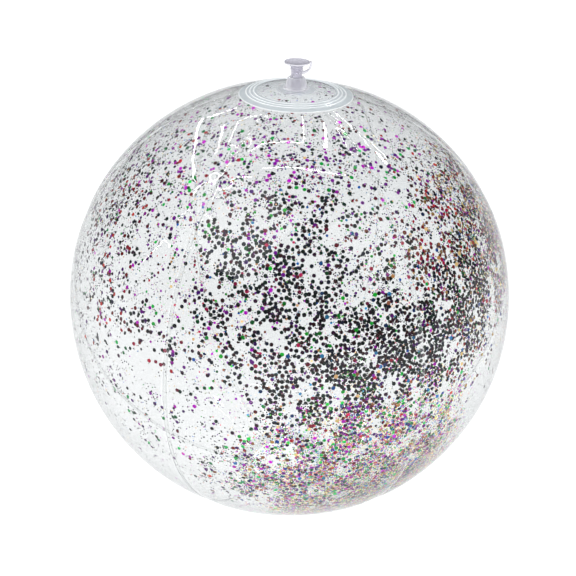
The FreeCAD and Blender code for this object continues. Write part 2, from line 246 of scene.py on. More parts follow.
def clean_mesh(obj):
    """Welds points that fall together, such as those on a turned solid's axis, and turns faces outward."""
    work = bmesh.new()
    work.from_mesh(obj.data)
    bmesh.ops.remove_doubles(work, verts=work.verts, dist=0.002 * MM)
    bmesh.ops.recalc_face_normals(work, faces=work.faces)
    work.to_mesh(obj.data)
    work.free()


# ---------------------------------------------------------------- materials

WHITE = (1.0, 1.0, 1.0)
DUST_TINT = (0.61, 0.64, 0.60)
# The whiter scatter on a raised rib: partly the thicker vinyl, partly a painted highlight on its crest.
RIB_MILK_AND_HIGHLIGHT = (0.93, 0.94, 0.95)


def new_material(name):
    """An empty node material, and its tree."""
    mat = bpy.data.materials.new(name)
    mat.use_nodes = True
    mat.node_tree.nodes.clear()
    return mat, mat.node_tree


def add(tree, kind, inputs=None, **settings):
    """Adds a node; an input is a value, or another node's output to link."""
    node = tree.nodes.new(kind)
    for key, value in settings.items():
        setattr(node, key, value)
    for key, value in (inputs or {}).items():
        socket = node.inputs[key]
        if isinstance(value, bpy.types.NodeSocket):
            tree.links.new(value, socket)
        else:
            socket.default_value = value
    return node


def maths(tree, operation, a, b=0.0, clamp=False):
    """One sum; a and b are values or outputs to link."""
    return add(tree, "ShaderNodeMath", {0: a, 1: b}, operation=operation, use_clamp=clamp).outputs[0]


def blend_colour(tree, factor, a, b, mode="MIX"):
    """Mixes two colours, each a value or an output to link."""
    node = add(tree, "ShaderNodeMix", {0: factor}, data_type="RGBA", blend_type=mode)
    for socket, value in ((node.inputs[6], a), (node.inputs[7], b)):
        if isinstance(value, bpy.types.NodeSocket):
            tree.links.new(value, socket)
        else:
            socket.default_value = (*value, 1.0)
    return node.outputs[2]


def noise(tree, scale, detail=3.0, distortion=0.0):
    """Soft noise in the piece's own space, from 0 to 1."""
    place = add(tree, "ShaderNodeTexCoord").outputs["Object"]
    settings = {"Vector": place, "Scale": scale, "Detail": detail, "Distortion": distortion}
    return add(tree, "ShaderNodeTexNoise", settings).outputs["Fac"]


def finish_material(tree, shader):
    """Links the last shader to the output."""
    add(tree, "ShaderNodeOutputMaterial", {"Surface": shader})


def vinyl(
    name, clear, shade, edge, haze, milk, roughness,
    gloss=0.04, grain=0.02, edge_power=4.0, sealed=(0.66, 0.69, 0.72), seal=0.25, cloud=0.07,
):
    """Clear soft vinyl. Each wall tints what is behind it. Clear is partly the film's own faint tint and
    partly painted shade for the grey room that the ball shows. The tint goes to shade, all of it painted
    shade, in soft patches that grow towards the top, and towards edge where the wall is seen edge on, partly
    for the longer path through the vinyl and partly as painted shade. Haze is the share of milk-white
    scatter. A point's weld attribute is 1 where two films are sealed together: seal is how far that takes
    their tint to the sealed one, and cloud how cloudy it makes them. Its rib attribute is 1 on a raised
    line, which is cloudier still and whiter, partly for the thicker vinyl and partly as a painted highlight
    on its crest, and its dust attribute is how much glitter powder clings to it."""
    mat, tree = new_material(name)
    facing = add(tree, "ShaderNodeLayerWeight", {"Blend": 0.5}).outputs["Facing"]
    geometry = add(tree, "ShaderNodeNewGeometry").outputs
    front = maths(tree, "SUBTRACT", 1.0, geometry["Backfacing"])
    height = add(tree, "ShaderNodeSeparateXYZ", {0: geometry["Position"]}).outputs["Z"]
    weld, rib, dust = (
        add(tree, "ShaderNodeAttribute", attribute_name=name_of).outputs["Fac"]
        for name_of in ("weld", "rib", "dust")
    )
    wave = add(
        tree,
        "ShaderNodeBump",
        {"Strength": grain, "Distance": 1 * MM, "Height": noise(tree, 260.0, 2.0, 0.4)},
    ).outputs["Normal"]

    rim = maths(tree, "POWER", facing, edge_power)
    rise = maths(tree, "MULTIPLY", maths(tree, "SUBTRACT", height, CENTRE[2] * 0.8), 1 / RADIUS, True)
    # Painted shade: the tint darkens in soft noise patches and towards the top of the ball.
    painted_shade_patch = maths(tree, "MULTIPLY", maths(tree, "SUBTRACT", noise(tree, 9.0, 3.0, 0.8), 0.35), 2.2, True)
    painted_shade_patch = maths(tree, "ADD", maths(tree, "MULTIPLY", painted_shade_patch, 0.3), maths(tree, "MULTIPLY", rise, 0.7), True)
    tint = blend_colour(tree, painted_shade_patch, clear, shade)
    # Edge on, the tint darkens, partly for the longer path through the vinyl and partly as painted shade.
    tint = blend_colour(tree, rim, tint, edge)
    dust = maths(tree, "MULTIPLY", dust, maths(tree, "ADD", 0.5, noise(tree, 60.0, 4.0)), True)
    tint = blend_colour(tree, dust, tint, DUST_TINT)
    tint = blend_colour(tree, maths(tree, "MULTIPLY", weld, seal, True), tint, sealed)
    tint = blend_colour(tree, front, WHITE, tint)
    through = add(tree, "ShaderNodeBsdfTransparent", {"Color": tint}).outputs[0]

    # On a rib the scatter is whiter and stronger, partly for the thicker vinyl and partly as a painted
    # highlight on its crest.
    milk_and_rib_highlight = blend_colour(tree, rib, milk, RIB_MILK_AND_HIGHLIGHT)
    body = add(tree, "ShaderNodeBsdfDiffuse", {"Color": milk_and_rib_highlight}).outputs[0]
    glow = add(tree, "ShaderNodeBsdfTranslucent", {"Color": milk_and_rib_highlight}).outputs[0]
    body = add(tree, "ShaderNodeMixShader", {0: 0.5, 1: body, 2: glow}).outputs[0]
    share = maths(tree, "ADD", haze, maths(tree, "MULTIPLY", weld, cloud))
    share = maths(tree, "ADD", share, maths(tree, "MULTIPLY", rib, 0.35))
    share = maths(tree, "ADD", share, maths(tree, "MULTIPLY", rim, haze * 3.0), True)
    share = maths(tree, "MULTIPLY", share, front)
    inside = add(tree, "ShaderNodeMixShader", {0: share, 1: through, 2: body}).outputs[0]

    shine = add(tree, "ShaderNodeBsdfGlossy", {"Roughness": roughness, "Normal": wave}).outputs[0]
    schlick = maths(tree, "POWER", facing, 5.0)
    mirror = maths(tree, "ADD", gloss, maths(tree, "MULTIPLY", schlick, 0.85), True)
    mirror = maths(tree, "MULTIPLY", mirror, front)
    finish_material(tree, add(tree, "ShaderNodeMixShader", {0: mirror, 1: inside, 2: shine}).outputs[0])
    return mat


def foil(name, metallic, roughness, shimmer):
    """Metallised glitter: each flake's own tint, with a hue that drifts with the angle it is seen from."""
    mat, tree = new_material(name)
    tint = add(tree, "ShaderNodeAttribute", attribute_name="tint").outputs["Color"]
    facing = add(tree, "ShaderNodeLayerWeight", {"Blend": 0.5}).outputs["Facing"]
    turn = maths(tree, "ADD", 0.5 - shimmer / 2, maths(tree, "MULTIPLY", facing, shimmer))
    speck = maths(tree, "ADD", 0.75, maths(tree, "MULTIPLY", noise(tree, 1800.0, 2.0), 0.5))
    colour = add(
        tree, "ShaderNodeHueSaturation", {"Hue": turn, "Saturation": 1.05, "Value": speck, "Color": tint}
    ).outputs[0]
    rough = maths(tree, "ADD", roughness, maths(tree, "MULTIPLY", noise(tree, 900.0, 3.0), 0.15))
    grain = add(
        tree, "ShaderNodeBump", {"Strength": 0.15, "Distance": 0.05 * MM, "Height": noise(tree, 2500.0, 2.0)}
    ).outputs["Normal"]
    shader = add(
        tree,
        "ShaderNodeBsdfPrincipled",
        {
            "Base Color": colour,
            "Metallic": metallic,
            "Roughness": rough,
            "Specular IOR Level": 0.12,
            "Normal": grain,
        },
    ).outputs[0]
    finish_material(tree, shader)
    return mat


def plain_floor():
    """A pale matte studio floor with a very faint mottle."""
    mat, tree = new_material("floor_paint")
    colour = blend_colour(tree, noise(tree, 6.0, 5.0), (0.93, 0.93, 0.93), (0.96, 0.96, 0.96))
    finish_material(tree, add(tree, "ShaderNodeBsdfDiffuse", {"Color": colour}).outputs[0])
    return mat


def glow_material(name, strength):
    """Plain white light."""
    mat, tree = new_material(name)
    light = add(tree, "ShaderNodeEmission", {"Strength": strength, "Color": (*WHITE, 1.0)}).outputs[0]
    finish_material(tree, light)
    return mat


# The film's clear tint is partly its own faint tint and partly painted shade, its shade tint is painted
# shade, and each look's edge tint is partly painted shade.
FILM_LOOK = vinyl(
    "panel_vinyl", clear=(0.845, 0.85, 0.847), shade=(0.735, 0.745, 0.745), edge=(0.655, 0.67, 0.66),
    haze=0.006, milk=(0.85, 0.85, 0.88), roughness=0.02, gloss=0.03,
    sealed=(0.975, 0.98, 0.975), seal=0.5, cloud=0.03,
)
DISC_LOOK = vinyl(
    "disc_vinyl", clear=(0.93, 0.94, 0.945), shade=(0.86, 0.875, 0.88), edge=(0.66, 0.70, 0.73),
    haze=0.01, milk=(0.60, 0.655, 0.68), roughness=0.04, edge_power=2.5, seal=0.25, cloud=0.62,
)
VALVE_LOOK = vinyl(
    "valve_vinyl", clear=(0.84, 0.83, 0.87), shade=(0.80, 0.79, 0.84), edge=(0.40, 0.38, 0.45),
    haze=0.30, milk=(0.40, 0.39, 0.45), roughness=0.08, gloss=0.08, grain=0.10, edge_power=2.0,
)
BELL_LOOK = vinyl(
    "bell_vinyl", clear=(0.88, 0.87, 0.90), shade=(0.86, 0.85, 0.89), edge=(0.50, 0.49, 0.55),
    haze=0.42, milk=(0.62, 0.62, 0.65), roughness=0.08, gloss=0.08, grain=0.10, edge_power=2.5,
)
FLANGE_LOOK = vinyl(
    "flange_vinyl", clear=(0.90, 0.90, 0.92), shade=(0.86, 0.87, 0.90), edge=(0.66, 0.68, 0.74),
    haze=0.32, milk=(0.84, 0.86, 0.87), roughness=0.05, gloss=0.10, grain=0.5,
)
FLAP_LOOK = vinyl(
    "flap_vinyl", clear=(0.88, 0.88, 0.92), shade=(0.84, 0.84, 0.88), edge=(0.62, 0.62, 0.70),
    haze=0.18, milk=(0.86, 0.86, 0.90), roughness=0.15,
)
LARGE_FOIL = foil("large_flake_foil", metallic=0.55, roughness=0.28, shimmer=0.06)
SMALL_FOIL = foil("small_flake_foil", metallic=0.45, roughness=0.34, shimmer=0.16)


# ---------------------------------------------------------------- film panels and discs

# A panel's mesh, and how it steps in at its lapped edge
PANEL_ROWS = 170
PANEL_COLUMNS = 64
STEP_PLACE = 0.1 * MM
STEP_SOFTNESS = 0.12 * MM

# A thin grey line runs along each seam
SEAM_LINE = 0.45 * MM

# The raised rings on a disc, the thickness of its edge and how much thicker it is inside it
DISC_RINGS = [(26.6 + 2.4 * ring) * MM for ring in range(3)]
RING_HIGH = 0.42 * MM
RING_WIDE = 0.45 * MM
DISC_EDGE = 0.12 * MM
DISC_SWELL = 0.18 * MM
VALVE_HOLE = 7.6 * MM

# The bottom disc's weld and rings are this much as cloudy as the top one's, and its rings carry this much of
# their painted highlight
BOTTOM_MILK_AND_HIGHLIGHT = 0.1


def dress(obj, look, body=None, stands_for=()):
    """Gives a piece its material, the body it rides on and the CAD nodes it stands for.
    A piece casts no shadow, as on a table that is lit from below."""
    obj.visible_shadow = False
    obj.visible_diffuse = False
    obj.data.materials.clear()
    obj.data.materials.append(look)
    if body:
        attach(obj, body)
    if stands_for:
        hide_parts(*stands_for)
    return obj


def make_panel(number):
    """One gore. Its first edge steps in by a film's thickness and laps under the panel before it."""
    step = 2 * math.pi / PANELS
    tip = tip_slope(TIP_RADIUS)
    slope = np.linspace(-tip, tip, PANEL_ROWS)[:, None]
    out, _ = meridian(slope, 0.0)
    edge_gap = EDGE_GAP / out
    lap_turn = LAP / out
    across = np.linspace(0, 1, PANEL_COLUMNS)
    across = 0.5 * (across + 0.5 - 0.5 * np.cos(math.pi * across))
    turn = number * step - lap_turn + (step - edge_gap + lap_turn) * across[None, :]
    inset = (number * step - turn) * out
    stepped = 1 / (1 + np.exp(-np.clip((inset - STEP_PLACE) / STEP_SOFTNESS, -30, 30)))
    depth = stepped * (FILM + LAP_GAP)
    outer, _ = film_point(turn, slope, depth)
    inner, _ = film_point(turn, slope, depth + FILM)
    obj = closed_sheet(f"film_panel_{number + 1}", outer, inner)
    end = ((number + 1) * step - turn) * out
    weld = np.clip(np.maximum(inset + 0.4 * MM, LAP + 0.2 * MM - end) / (0.4 * MM), 0, 1)
    dust = DUST * dustiness(np.degrees(turn) + 90, np.degrees(slope))
    dust = dust + np.exp(-((end / SEAM_LINE) ** 2))
    for name, values in (("weld", weld), ("dust", dust)):
        paint(obj, name, np.concatenate([values.ravel(), values.ravel()]))
    return dress(obj, FILM_LOOK, "shell", [f"panel_{number + 1}"])


def make_disc(node, side):
    """A polar disc, side 1 for the top and -1 for the bottom: a flat middle, a clear dome, then a band that
    is welded to the panels, with raised rings and fine gathers."""
    steps, rows = 240, 110
    hole = VALVE_HOLE if side > 0 else 0.0
    out = np.linspace(hole, DISC_RADIUS, rows)[:, None]
    turn = np.linspace(0, 2 * math.pi, steps, endpoint=False)[None, :]
    low = CROWN_Z + np.sqrt((CROWN_ARC + BOND) ** 2 - np.maximum(out, DISC_FLAT) ** 2)
    band = np.clip((out - TIP_RADIUS) / (1.5 * MM), 0, 1)
    slope = np.arccos(out / CROWN_ARC)
    low = low + puff(turn, slope, out) * band
    rings = np.zeros_like(out)
    for radius in DISC_RINGS:
        rings = rings + RING_HIGH * np.exp(-(((out - radius) / RING_WIDE) ** 2))
    edge = np.clip((DISC_RADIUS - out) / (0.8 * MM), 0, 1) ** 0.5
    high = low + DISC_EDGE + DISC_SWELL * edge + rings
    upper, lower = (
        np.stack(np.broadcast_arrays(out * np.cos(turn), out * np.sin(turn), level), axis=-1)
        for level in (high, low)
    )
    points = np.concatenate([upper, lower[::-1]])
    points[..., 2] = CENTRE[2] + side * points[..., 2]
    obj = new_object(f"film_{node}", points.reshape(-1, 3), ring_faces(len(points), steps, flip=side < 0))
    weld = np.broadcast_to(np.clip((out - TIP_RADIUS) / (0.8 * MM) + 0.5, 0, 1), (rows, steps))
    # Painted highlight, with thicker vinyl: the rings and the disc's rim are drawn whiter and cloudier.
    rib_highlight = rings / RING_HIGH + np.exp(-(((DISC_RADIUS - out) / (0.5 * MM)) ** 2))
    rib_highlight = np.broadcast_to(np.clip(rib_highlight, 0, 1), (rows, steps))
    for name, values in (("weld", weld), ("rib", rib_highlight)):
        values = values * (1.0 if side > 0 else BOTTOM_MILK_AND_HIGHLIGHT)
        paint(obj, name, np.concatenate([values.ravel(), values[::-1].ravel()]))
    clean_mesh(obj)
    return dress(obj, DISC_LOOK, "shell", [node])


# ---------------------------------------------------------------- valve

# Radii of the bell's foot, of the ledge it rises to and of the bead round its foot, and its wall
BELL_BASE = 7.0 * MM
BELL_LEDGE = 5.2 * MM
BELL_BEAD = 8.5 * MM
BELL_WALL = 0.6 * MM

# The stem with a hair of clearance, the radius that the tether bends to, and where the tether starts below
# the stem's top and ends beside the plug's axis
STEM_RADIUS = 3.56 * MM
TETHER_BEND = 5.0 * MM
TETHER_DROP = 2.6 * MM
TETHER_TIP = 8.36 * MM


def make_bell():
    """The collapsible bell, from a bead on the disc's face up to a soft ledge round the stem."""
    foot = FLANGE_TOP - 0.8 * MM
    bead = [
        (BELL_BASE, 0.0),
        (BELL_BASE, 0.45 * MM),
        (BELL_BEAD - 0.4 * MM, 0.45 * MM),
        (BELL_BEAD, 0.7 * MM),
        (BELL_BEAD - 0.15 * MM, 1.0 * MM),
        (BELL_BEAD - 0.6 * MM, 1.1 * MM),
        (BELL_BASE + 0.35 * MM, 1.05 * MM),
    ]
    side = []
    for share in np.linspace(0.18, 1.0, 16):
        out = BELL_BASE + (BELL_LEDGE - BELL_BASE) * share + 0.5 * MM * math.sin(math.pi * share)
        side.append((out, FLANGE_TOP + (BELL_TOP - FLANGE_TOP - 0.5 * MM) * share))
    inner = [(max(out - BELL_WALL, STEM_RADIUS), up - 0.3 * MM) for out, up in reversed(side)]
    inner.append((BELL_BASE - BELL_WALL, FLANGE_TOP))
    outline = [(BELL_BASE - BELL_WALL, foot), (BELL_BASE, foot)]
    outline += [(out, FLANGE_TOP + up) for out, up in bead] + side
    outline += [(BELL_LEDGE - 0.15 * MM, BELL_TOP - 0.12 * MM), (BELL_LEDGE - 0.45 * MM, BELL_TOP)]
    outline += [(STEM_RADIUS, BELL_TOP)] + inner
    obj = lathe("soft_bell", outline, 112)
    dress(obj, BELL_LOOK)
    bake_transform(obj)
    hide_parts("valve_bell")


def make_tether():
    """The strap from the stem's side to the plug's rim: an arc that is thinned where it bends."""
    root = np.array([STEM_RADIUS, STEM_TOP - TETHER_DROP])
    tip = np.array([TETHER_TIP, PLUG_TOP - 0.05 * MM])
    chord = tip - root
    side = np.array([-chord[1], chord[0]]) / np.linalg.norm(chord)
    centre = (root + tip) / 2 + side * math.sqrt(TETHER_BEND**2 - chord @ chord / 4)
    first, last = (math.atan2(point[1] - centre[1], point[0] - centre[0]) for point in (root, tip))
    steps, corners = 40, 20
    rings = []
    for share in np.linspace(0, 1, steps):
        angle = first + (last - first) * share
        spoke = np.array([math.cos(angle), math.sin(angle)])
        bend = math.exp(-(((share - 0.5) / 0.10) ** 2))
        flare = math.exp(-share / 0.12) + 0.5 * math.exp((share - 1) / 0.12)
        thick = (0.60 - 0.18 * bend + 0.30 * flare) * MM
        wide = (1.45 - 0.2 * bend + 0.35 * flare) * MM
        for corner in np.linspace(0, 2 * math.pi, corners, endpoint=False):
            across = wide * math.copysign(abs(math.cos(corner)) ** 0.6, math.cos(corner))
            lift = thick * math.copysign(abs(math.sin(corner)) ** 0.6, math.sin(corner))
            x, z = centre + spoke * (TETHER_BEND + lift)
            rings.append((max(x, math.sqrt(STEM_RADIUS**2 - across**2)), across, min(z, PLUG_TOP)))
    faces = grid_faces(steps, corners, closed=True)
    faces += [tuple(range(corners))[::-1], tuple(range((steps - 1) * corners, steps * corners))]
    obj = new_object("soft_tether", rings, faces)
    clean_mesh(obj)
    dress(obj, VALVE_LOOK)
    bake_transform(obj)
    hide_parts("plug_tether")


def dress_valve():
    """The rigid valve pieces, which keep their CAD shapes."""
    dress(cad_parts["valve_flange"], FLANGE_LOOK)
    for node in ("valve_stem", "valve_plug"):
        dress(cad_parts[node], VALVE_LOOK)
    dress(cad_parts["check_flap"], FLAP_LOOK)


# ---------------------------------------------------------------- glitter

# The two sizes of flake: radius, number of sides, area over the radius squared, least gap to the next one in
# radii, and look
FLAKES = {
    "large": (1.17 * MM, 14, math.pi, 1.5, LARGE_FOIL),
    "small": (0.45 * MM, 6, 2.6, 1.4, SMALL_FOIL),
}

# A flake's thickness, how deep under the film's face the flakes lie, and how far they are strewn in depth
FLAKE_THICK = 0.08 * MM
FLAKE_DEPTH = 0.85 * MM
FLAKE_LAYER = 0.5 * MM

# The most flakes in one piece, so that no mesh passes 200,000 faces
PIECE_FLAKES = 9500

# Linear colours that a group's flakes are drawn from
TINTS = {
    # The black group's near-black tints are partly the foil's own faint hue and mostly painted shade, for
    # coloured foil that shows dark where it mirrors its dark surroundings.
    "black": [(0.003, 0.004, 0.005), (0.003, 0.016, 0.011), (0.004, 0.005, 0.020), (0.024, 0.004, 0.018),
              (0.026, 0.008, 0.006), (0.003, 0.009, 0.007)],
    "purple": [(0.20, 0.006, 0.24), (0.12, 0.006, 0.16), (0.06, 0.005, 0.11), (0.42, 0.015, 0.40)],
    "green": [(0.008, 0.20, 0.050), (0.008, 0.09, 0.035), (0.02, 0.38, 0.09)],
    "red": [(0.26, 0.010, 0.018), (0.10, 0.007, 0.014), (0.42, 0.04, 0.03), (0.13, 0.020, 0.012)],
    "gold": [(0.20, 0.090, 0.040), (0.36, 0.22, 0.07), (0.12, 0.055, 0.030), (0.66, 0.48, 0.20)],
    "blue": [(0.012, 0.035, 0.26), (0.03, 0.13, 0.36), (0.008, 0.016, 0.09)],
    "silver": [(0.40, 0.05, 0.36), (0.08, 0.42, 0.15), (0.66, 0.18, 0.10), (0.10, 0.17, 0.50),
               (0.80, 0.66, 0.28), (0.36, 0.42, 0.32), (0.32, 0.35, 0.33), (0.72, 0.66, 0.44)],
}

# How much of each colour a drift holds, for each size of flake. The near-black share is mostly painted
# shade, largest in the drifts over the front middle
MIXES = {
    "ink": {
        "large": {"black": 20, "green": 1.0, "purple": 0.7, "red": 0.6, "blue": 0.5},
        "small": {"black": 12, "silver": 1},
    },
    "wine": {
        "large": {"black": 6, "red": 5, "purple": 2, "green": 0.8},
        "small": {"black": 6, "purple": 1, "silver": 2},
    },
    "rust": {
        "large": {"black": 6, "red": 5, "gold": 4, "blue": 0.8, "purple": 1},
        "small": {"black": 5, "purple": 1, "silver": 5},
    },
    "violet": {
        "large": {"purple": 5, "green": 2.5, "black": 3, "red": 1.0},
        "small": {"black": 5, "purple": 1, "silver": 2},
    },
    "carnival": {
        "large": {"purple": 5, "green": 4.0, "red": 2.4, "blue": 2.2, "gold": 3.0, "black": 0.3},
        "small": {"silver": 10, "purple": 1.5, "black": 0.5},
    },
}

# How brightly a drift's flakes gleam: painted light, which draws the foil brighter where the light falls on
# it, most in the low coloured drifts
PAINTED_GLEAMS = {"ink": 1.0, "wine": 1.0, "rust": 1.2, "violet": 1.15, "carnival": 1.5}

# Drifts of glitter: azimuth, elevation and spread in degrees, how much of the film the large and the small
# flakes cover at its middle, and the mix
DRIFTS = [
    (-15, 35, 6, 0.80, 0.08, "ink"),
    (0, 45, 6, 0.60, 0.05, "ink"),
    (0, 26, 7, 0.70, 0.08, "ink"),
    (14, 36, 7, 0.08, 0.05, "ink"),
    (15, 24, 6, 0.22, 0.10, "ink"),
    (-15, 20, 7, 0.40, 0.08, "ink"),
    (0, 12, 6, 0.85, 0.06, "ink"),
    (16, 13, 6, 1.80, 0.24, "ink"),
    (31, 14, 6, 2.60, 0.24, "ink"),
    (46, 21, 6, 1.60, 0.12, "ink"),
    (2, 3, 6, 0.50, 0.14, "ink"),
    (45, 25, 7, 0.80, 0.16, "rust"),
    (47, 36, 7, 0.60, 0.08, "rust"),
    (31, 32, 8, 0.14, 0.08, "rust"),
    (44, 12, 5, 0.60, 0.20, "rust"),
    (60, 36, 8, 0.36, 0.16, "rust"),
    (76, 38, 9, 0.22, 0.80, "rust"),
    (62, 24, 7, 0.55, 0.60, "rust"),
    (75, 24, 7, 0.16, 0.55, "rust"),
    (-46, 17, 6, 0.26, 0.03, "wine"),
    (-33, 14, 5, 0.18, 0.02, "wine"),
    (-58, 38, 8, 0.16, 0.03, "wine"),
    (-75, 40, 9, 0.10, 0.08, "wine"),
    (-60, 24, 7, 0.10, 0.03, "wine"),
    (-46, 50, 8, 0.07, 0.03, "violet"),
    (-22, -2, 9, 0.06, 0.03, "violet"),
    (-42, -4, 9, 0.05, 0.03, "violet"),
    (-13, -18, 7, 0.10, 0.20, "violet"),
    (15, 3, 6, 0.60, 0.14, "carnival"),
    (15, -6, 7, 0.90, 0.80, "carnival"),
    (1, -9, 7, 0.34, 0.60, "carnival"),
    (31, -6, 8, 0.45, 0.80, "carnival"),
    (1, -21, 8, 0.50, 1.00, "carnival"),
    (16, -20, 8, 0.85, 1.90, "carnival"),
    (32, -20, 8, 0.75, 2.00, "carnival"),
    (16, -36, 9, 1.30, 3.20, "carnival"),
    (36, -36, 9, 1.10, 3.20, "carnival"),
    (-15, 58, 8, 0.06, 0.04, "violet"),
    (8, 58, 8, 0.06, 0.03, "violet"),
    (30, 60, 8, 0.12, 0.03, "violet"),
    (46, 53, 7, 0.10, 0.02, "violet"),
    (-55, 62, 11, 0.06, 0.05, "violet"),
    (150, 20, 26, 0.05, 0.03, "wine"),
    (-150, 5, 28, 0.04, 0.03, "violet"),
    (180, -25, 30, 0.05, 0.04, "carnival"),
    (105, 5, 22, 0.06, 0.05, "rust"),
    (-105, 10, 24, 0.04, 0.02, "ink"),
]

# A thin strew all over the ball: how much of the film each size covers, and the mix
EVERYWHERE = {"large": 0.008, "small": 0.010}
EVERYWHERE_MIX = "violet"

# Flakes cling in clumps: waves round the ball decide where, and keep this share of the flakes
CLUMPS = 24
CLUMP_WAVES = 45.0 * RNG.standard_normal((CLUMPS, 3))
CLUMP_PHASES = RNG.uniform(0, 2 * math.pi, CLUMPS)
CLUMP_SHARE = 0.55

# How far the finest glitter tints the film, for each unit of it that the small flakes cover
DUST = 0.25


def dustiness(azimuth, elevation):
    """How much of the film the small flakes cover, smoothly, at headings in degrees."""
    directions = heading(azimuth, elevation)
    total = 0.0
    for azimuth, elevation, spread, _, small, _ in DRIFTS:
        away = np.degrees(np.arccos(np.clip(directions @ heading(azimuth, elevation), -1, 1)))
        total = total + small * np.exp(-0.5 * (away / spread) ** 2)
    return total


def clumped(directions):
    """Marks the directions to keep: most of those in a clump, and fewer in the gaps between."""
    height = np.cos(directions @ CLUMP_WAVES.T + CLUMP_PHASES).sum(axis=1) / math.sqrt(CLUMPS / 2)
    return RNG.random(len(directions)) < np.clip(0.50 + 0.38 * height, 0.08, 1.0)


def scatter(azimuth, elevation, spread, count):
    """Directions strewn evenly round a heading, with a soft edge at 1.5 times the spread in degrees."""
    middle = heading(azimuth, elevation)
    east = heading(azimuth + 90, 0)
    north = np.cross(east, middle)
    turn = RNG.uniform(0, 2 * math.pi, count)
    reach = 1.5 * np.sqrt(RNG.random(count))
    offset = np.stack([reach * np.cos(turn), reach * np.sin(turn)], axis=-1)
    offset = np.radians(spread) * (offset + 0.45 * RNG.standard_normal((count, 2)))
    away = middle + offset[:, :1] * east + offset[:, 1:] * north
    return away / np.linalg.norm(away, axis=1, keepdims=True)


def pick(mix, count):
    """Colour names drawn by weight."""
    names = sorted(mix)
    weights = np.array([mix[n] for n in names], float)
    return RNG.choice(names, size=count, p=weights / weights.sum())


def drift_flakes(size):
    """Every flake of one size: directions, colour names and gleams, the painted light on each drift's foil.
    """
    radius, _, fullness, _, _ = FLAKES[size]
    area = fullness * radius**2
    directions, colours, gleams = [], [], []
    for azimuth, elevation, spread, large, small, mix in DRIFTS:
        cover = large if size == "large" else small
        count = int(cover * 2 * math.pi * (math.radians(spread) * RADIUS) ** 2 / area / CLUMP_SHARE)
        directions.append(scatter(azimuth, elevation, spread, count))
        colours.append(pick(MIXES[mix][size], count))
        gleams.append(np.full(count, PAINTED_GLEAMS[mix]))
    count = int(EVERYWHERE[size] * 4 * math.pi * RADIUS**2 / area / CLUMP_SHARE)
    even = RNG.standard_normal((count, 3))
    directions.append(even / np.linalg.norm(even, axis=1, keepdims=True))
    colours.append(pick(MIXES[EVERYWHERE_MIX][size], count))
    gleams.append(np.full(count, PAINTED_GLEAMS[EVERYWHERE_MIX]))
    directions, colours, gleams = (np.concatenate(part) for part in (directions, colours, gleams))
    kept = clumped(directions)
    return directions[kept], colours[kept], gleams[kept]


def spaced(places, gap):
    """Marks the places to keep so that no two are nearer than the gap."""
    keep = np.zeros(len(places), bool)
    cells = {}
    for i, place in enumerate(places):
        cell = tuple(np.floor(place / gap).astype(int))
        near = (
            cells.get((cell[0] + dx, cell[1] + dy, cell[2] + dz))
            for dx in (-1, 0, 1)
            for dy in (-1, 0, 1)
            for dz in (-1, 0, 1)
        )
        if all(other is None or np.sum((other - place) ** 2) > gap**2 for other in near):
            cells[cell] = place
            keep[i] = True
    return keep


def flake_mesh(name, places, normals, tints, sides, radius):
    """One mesh of many thin flakes, each tilted a little off the film."""
    count = len(places)
    tilt = normals + 0.09 * RNG.standard_normal((count, 3))
    tilt /= np.linalg.norm(tilt, axis=1, keepdims=True)
    first = np.cross(tilt, RNG.standard_normal((count, 3)))
    first /= np.linalg.norm(first, axis=1, keepdims=True)
    second = np.cross(tilt, first)
    size = radius * RNG.uniform(0.9, 1.1, (count, 1, 1))
    turn = np.linspace(0, 2 * math.pi, sides, endpoint=False)
    rim = np.cos(turn)[None, :, None] * first[:, None] + np.sin(turn)[None, :, None] * second[:, None]
    rim = places[:, None] + rim * size
    points = np.concatenate([rim, rim - tilt[:, None] * FLAKE_THICK], axis=1)
    pattern = [tuple(range(sides)), tuple(range(2 * sides - 1, sides - 1, -1))]
    pattern += [(k, sides + k, sides + (k + 1) % sides, (k + 1) % sides) for k in range(sides)]
    faces = [tuple(i * 2 * sides + q for q in face) for i in range(count) for face in pattern]
    obj = new_object(name, points.reshape(-1, 3), faces, smooth=False)
    paint(obj, "tint", np.repeat(tints, 2 * sides, axis=0))
    return obj


def make_glitter(size):
    """The flakes of one size, one piece a colour, or more where a colour has many. They lie under the panels
    and under a disc's dome, and not where the films are welded."""
    radius, sides, _, gap, look = FLAKES[size]
    directions, colours, gleams = drift_flakes(size)
    slope = np.arcsin(np.clip(directions[:, 2], -1, 1))
    turn = np.arctan2(directions[:, 1], directions[:, 0])
    depth = FLAKE_DEPTH + RNG.uniform(0, FLAKE_LAYER, len(turn))
    out, _ = meridian(slope, 0.0)
    places, normals = film_point(turn, slope, 0.0)
    places = places - normals * depth[:, None]
    under_panels = out > DISC_RADIUS + 0.5 * MM
    under_dome = (out > DISC_FLAT + 1.5 * MM) & (out < TIP_RADIUS - 1.5 * MM)
    keep = (under_panels | under_dome) & spaced(places, gap * radius)
    groups = [node for node in sorted(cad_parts) if node.startswith(f"glitter_{size}_")]
    for node in groups:
        colour = node.rsplit("_", 1)[-1]
        shades = np.array(TINTS[colour])
        found = np.flatnonzero(keep & (colours == colour))
        parts = math.ceil(len(found) / PIECE_FLAKES)
        for number, chosen in enumerate(np.array_split(found, parts), start=1):
            tints = shades[RNG.integers(len(shades), size=len(chosen))]
            # Each flake's tone differs at random; its drift's gleam is painted light.
            tints = tints * RNG.uniform(0.6, 1.4, (len(chosen), 1)) * gleams[chosen, None]
            name = f"flakes_{size}_{colour}" + (f"_{number}" if parts > 1 else "")
            obj = flake_mesh(name, places[chosen], normals[chosen], tints, sides, radius)
            dress(obj, look, "shell", [node])
            print(name, len(chosen), "flakes")


# ---------------------------------------------------------------- studio


